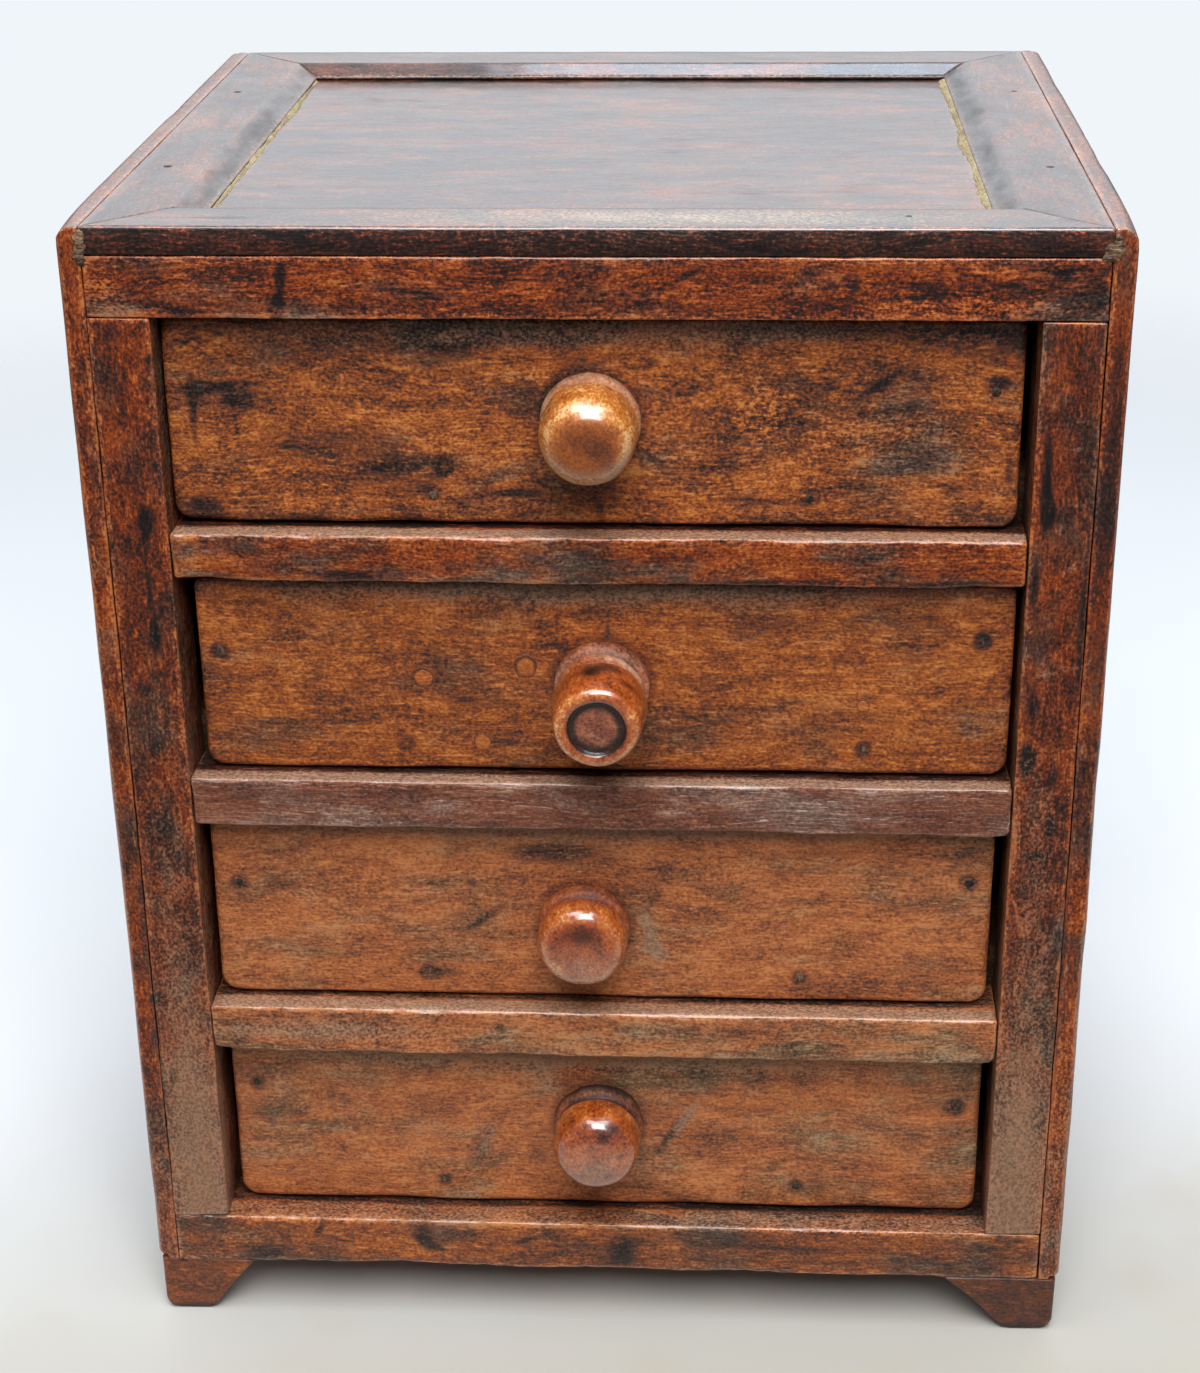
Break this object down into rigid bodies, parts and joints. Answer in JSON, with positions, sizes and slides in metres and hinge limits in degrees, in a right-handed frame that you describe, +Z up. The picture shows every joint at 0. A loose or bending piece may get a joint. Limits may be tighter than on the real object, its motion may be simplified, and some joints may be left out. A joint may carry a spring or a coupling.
{
  "type": "table-top chest of drawers",
  "caption": "Small table-top wooden chest with a framed top, bracket feet and stacked drawers that slide on wooden runners, each pulled by a turned knob.",
  "frame": {"origin": "on the floor, below the middle of the whole chest's box with its knobs", "axes": "+Z up, +X to the right of someone facing the drawers, +Y towards the back"},
  "size_m": [0.25, 0.2406, 0.3098],
  "materials": {
    "case_wood": "old dark varnish, worn at the edges",
    "top_wood": "old dark varnish, polished by use",
    "drawer_wood": "old varnish, stained and dusty",
    "knob_wood": "turned and varnished, glossy",
    "inner_wood": "bare, aged wood",
    "iron_nails": "dark rusted iron"
  },
  "bodies": {
    "case": {"left_side": "case_wood", "right_side": "case_wood", "back_panel": "case_wood", "bottom_board": "inner_wood", "front_top_rail": "case_wood", "front_bottom_rail": "case_wood", "left_stile": "case_wood", "right_stile": "case_wood", "divider_1": "case_wood", "divider_2": "case_wood", "divider_3": "case_wood", "top_frame_front": "top_wood", "top_frame_right": "top_wood", "top_frame_back": "top_wood", "top_frame_left": "top_wood", "top_panel": "top_wood", "foot_front_left": "case_wood", "foot_front_right": "case_wood", "foot_back_left": "case_wood", "foot_back_right": "case_wood", "kicker_left": "inner_wood", "kicker_right": "inner_wood", "runner_left_1": "inner_wood", "runner_left_2": "inner_wood", "runner_left_3": "inner_wood", "runner_left_4": "inner_wood", "runner_right_1": "inner_wood", "runner_right_2": "inner_wood", "runner_right_3": "inner_wood", "runner_right_4": "inner_wood", "case_nails": "iron_nails"},
    "drawer_1": {"drawer_1_front": "drawer_wood", "drawer_1_left_side": "inner_wood", "drawer_1_right_side": "inner_wood", "drawer_1_back": "inner_wood", "drawer_1_bottom": "inner_wood", "drawer_1_knob": "knob_wood", "drawer_1_nails": "iron_nails"},
    "drawer_2": {"drawer_2_front": "drawer_wood", "drawer_2_left_side": "inner_wood", "drawer_2_right_side": "inner_wood", "drawer_2_back": "inner_wood", "drawer_2_bottom": "inner_wood", "drawer_2_knob": "knob_wood", "drawer_2_nails": "iron_nails"},
    "drawer_3": {"drawer_3_front": "drawer_wood", "drawer_3_left_side": "inner_wood", "drawer_3_right_side": "inner_wood", "drawer_3_back": "inner_wood", "drawer_3_bottom": "inner_wood", "drawer_3_knob": "knob_wood", "drawer_3_nails": "iron_nails"},
    "drawer_4": {"drawer_4_front": "drawer_wood", "drawer_4_left_side": "inner_wood", "drawer_4_right_side": "inner_wood", "drawer_4_back": "inner_wood", "drawer_4_bottom": "inner_wood", "drawer_4_knob": "knob_wood", "drawer_4_nails": "iron_nails"}
  },
  "joints": [
    {"name": "drawer_1_slide", "type": "slide", "parent": "case", "child": "drawer_1", "axis": [0, -1, 0], "range_m": [-0.0027, 0.15]},
    {"name": "drawer_2_slide", "type": "slide", "parent": "case", "child": "drawer_2", "axis": [0, -1, 0], "range_m": [-0.0037, 0.15]},
    {"name": "drawer_3_slide", "type": "slide", "parent": "case", "child": "drawer_3", "axis": [0, -1, 0], "range_m": [-0.0027, 0.15]},
    {"name": "drawer_4_slide", "type": "slide", "parent": "case", "child": "drawer_4", "axis": [0, -1, 0], "range_m": [-0.0007, 0.15]}
  ]
}
